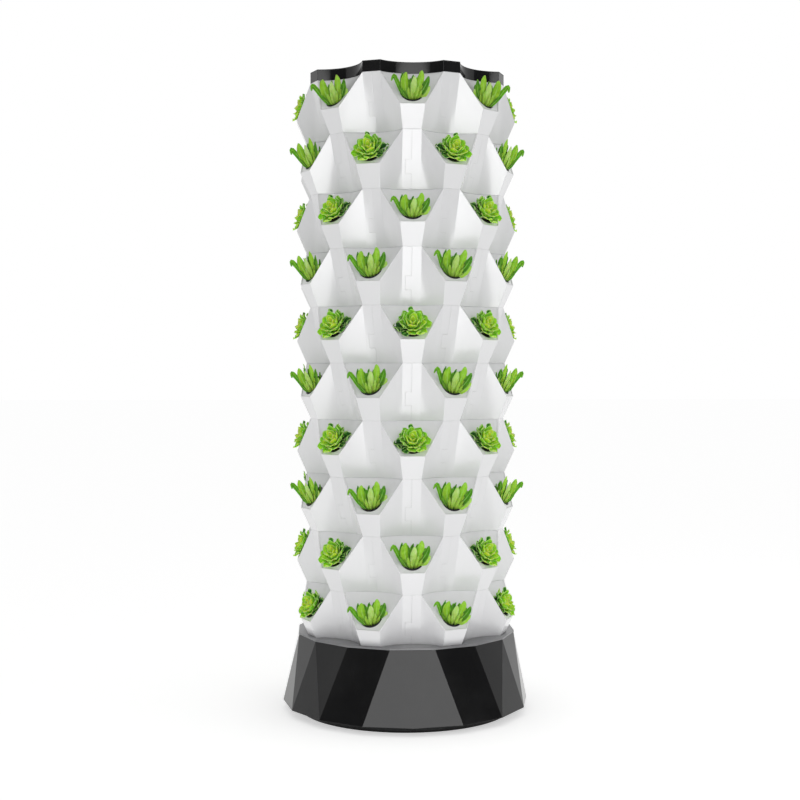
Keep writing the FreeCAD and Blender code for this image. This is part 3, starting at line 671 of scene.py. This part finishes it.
# %% Plant the rows
def plant_row(name, layer, turns, node, body):
    """One object with the plants of several pots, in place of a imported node."""
    bm = new_plant_mesh()
    for turn in turns:
        first = len(bm.verts)
        kind = "rosette" if is_rosette(layer, turn) else "upright"
        bm.from_mesh(plant_kinds[kind])
        bm.verts.ensure_lookup_table()
        added = bm.verts[first:]
        chance = random.Random(layer * 100 + round(math.degrees(turn)))
        own_size = Matrix.Scale(chance.uniform(*size_spread), 4)
        if is_mirrored(kind, turn):
            own_size = own_size @ Matrix.Scale(-1, 4, (1, 0, 0))
            faces = list({face for vert in added for face in vert.link_faces})
            bmesh.ops.reverse_faces(bm, faces=faces)
        stand = upright_stand(layer, turn) if kind == "upright" else rosette_stand(turn)
        bmesh.ops.transform(bm, matrix=pot_frame(layer, turn) @ stand @ own_size, verts=added)
    mesh = bpy.data.meshes.new(name)
    bm.to_mesh(mesh)
    bm.free()
    mesh.materials.append(upright_green)
    mesh.materials.append(rosette_green)
    row = bpy.data.objects.new(name, mesh)
    scene.collection.objects.link(row)
    thickness = row.modifiers.new("blade", "SOLIDIFY")
    thickness.thickness = 0.0006
    thickness.offset = 0.0
    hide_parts(node)
    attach(row, body)
    return row


loose_layer = 5
for layer in range(1, layer_count + 1):
    turns = pot_turns(layer)
    if layer == loose_layer:
        turns.remove(0.0)
        plant_row("salad_loose", layer, [0.0], "loose_plant", "front_cup")
    row = plant_row("salad_row_%02d" % layer, layer, turns, "plants_layer_%02d" % layer, "tower")
    print(row.name, len(turns), "plants,", len(row.data.polygons), "faces before thickness")

# %% [markdown]
# ## Studio
# The tower stands on a white sweep under soft light. A product studio would use wide white panels in
# front, black flags on both sides of them so that gloss shows a dark side, and white walls behind.
# Light and reflection are set apart here: some panels are seen only by matt surfaces, which sets the
# shading, and some only by gloss, which places the reflections. That is what a photographer does with
# polarised lamps. The white background comes from the floor and the world as the camera sees them.

# %% Panels
def panel(name, corners, radiance, gloss):
    """Panel that emits an even light, either for gloss or for matt shading, hidden from the camera."""
    bm = bmesh.new()
    bm.faces.new([bm.verts.new(corner) for corner in corners])
    mesh = bpy.data.meshes.new(name)
    bm.to_mesh(mesh)
    bm.free()
    sheet = bpy.data.objects.new(name, mesh)
    scene.collection.objects.link(sheet)
    glow, wire = start_finish(name)
    back = wire.node("ShaderNodeNewGeometry", output="Backfacing")
    light = wire.node("ShaderNodeEmission", None, {"Color": (1, 1, 1, 1), "Strength": radiance})
    clear = wire.node("ShaderNodeBsdfTransparent")
    one_sided = wire.node("ShaderNodeMixShader", None, {0: back, 1: light, 2: clear})
    wire.node("ShaderNodeOutputMaterial", None, {"Surface": one_sided})
    mesh.materials.append(glow)
    sheet.visible_camera = False
    sheet.visible_shadow = False
    sheet.visible_transmission = False
    sheet.visible_glossy = gloss
    sheet.visible_diffuse = not gloss
    return sheet


def upright_panel(name, start, end, distance, bottom, top, radiance, gloss):
    """Panel between two directions, in degrees from the front, at a distance from the tower."""
    corners = []
    for turn, height in ((end, bottom), (start, bottom), (start, top), (end, top)):
        angle = math.radians(turn)
        corners.append((distance * math.sin(angle), -distance * math.cos(angle), height))
    return panel(name, corners, radiance, gloss)


def level_panel(name, near_half, near, far_half, far, radiance, gloss):
    """Panel lying on the floor, facing up, between a near and a far edge."""
    level = 0.006
    corners = [(-far_half, far, level), (far_half, far, level), (near_half, near, level),
               (-near_half, near, level)]
    return panel(name, corners, radiance, gloss)


panels = [
    upright_panel("front_gloss", -38, 38, 3.2, 0.02, 2.4, 5.0, True),
    level_panel("near_gloss", 0.40, -0.5, 1.0, -1.3, 2.3, True),
    level_panel("low_gloss", 1.0, -1.3, 2.8, -3.6, 3.5, True),
    upright_panel("flag_left", -80, -38, 3.0, 0.02, 3.4, 0.02, True),
    upright_panel("flag_right", 38, 80, 3.0, 0.02, 3.4, 0.02, True),
    upright_panel("front_light", -36, 36, 3.3, 0.02, 2.9, 0.80, False),
    upright_panel("right_light", 50, 110, 3.4, 0.02, 3.0, 0.9, False),
    level_panel("floor_light", 5.0, 5.0, 5.0, -5.0, 1.06, False)]
print("panels", [sheet.name for sheet in panels])

# %% Floor and world
def seen(wire):
    """1 for rays from the camera, a gloss or a clear surface, else 0."""
    rays = [wire.node("ShaderNodeLightPath", output=name) for name in (
        "Is Camera Ray", "Is Glossy Ray", "Is Transmission Ray")]
    return wire.maths("ADD", rays[0] + rays[1], rays[2], clamp=True)


def grey(value):
    return (value, value, value, 1.0)


world = bpy.data.worlds.new("studio")
scene.world = world
world.use_nodes = True
world.cycles.sampling_method = "NONE"
world.node_tree.nodes.clear()
wire = Wire(world.node_tree)
tint = seen(wire).blend(grey(0.56), grey(1.0))
light = wire.node("ShaderNodeBackground", None, {"Color": tint, "Strength": 1.0})
wire.node("ShaderNodeOutputWorld", None, {"Surface": light})

bm = bmesh.new()
bmesh.ops.create_grid(bm, x_segments=1, y_segments=1, size=40.0)
floor_mesh = bpy.data.meshes.new("floor")
bm.to_mesh(floor_mesh)
bm.free()
floor = bpy.data.objects.new("floor", floor_mesh)
scene.collection.objects.link(floor)
floor_shade = 0.75
seen_shade = 0.85
seen_glow = 0.51
floor_white, wire = start_finish("floor_white")
matt = wire.node("ShaderNodeBsdfDiffuse", None, {"Color": grey(floor_shade)})
thin = wire.node("ShaderNodeBsdfDiffuse", None, {"Color": grey(seen_shade)})
glow = wire.node("ShaderNodeEmission", None, {"Color": grey(1.0), "Strength": seen_glow})
bright = wire.node("ShaderNodeAddShader", None, {0: thin, 1: glow})
mixed = wire.node("ShaderNodeMixShader", None, {0: seen(wire), 1: matt, 2: bright})
wire.node("ShaderNodeOutputMaterial", None, {"Surface": mixed})
floor_mesh.materials.append(floor_white)
print("floor", floor.dimensions[:], "world", world.name)
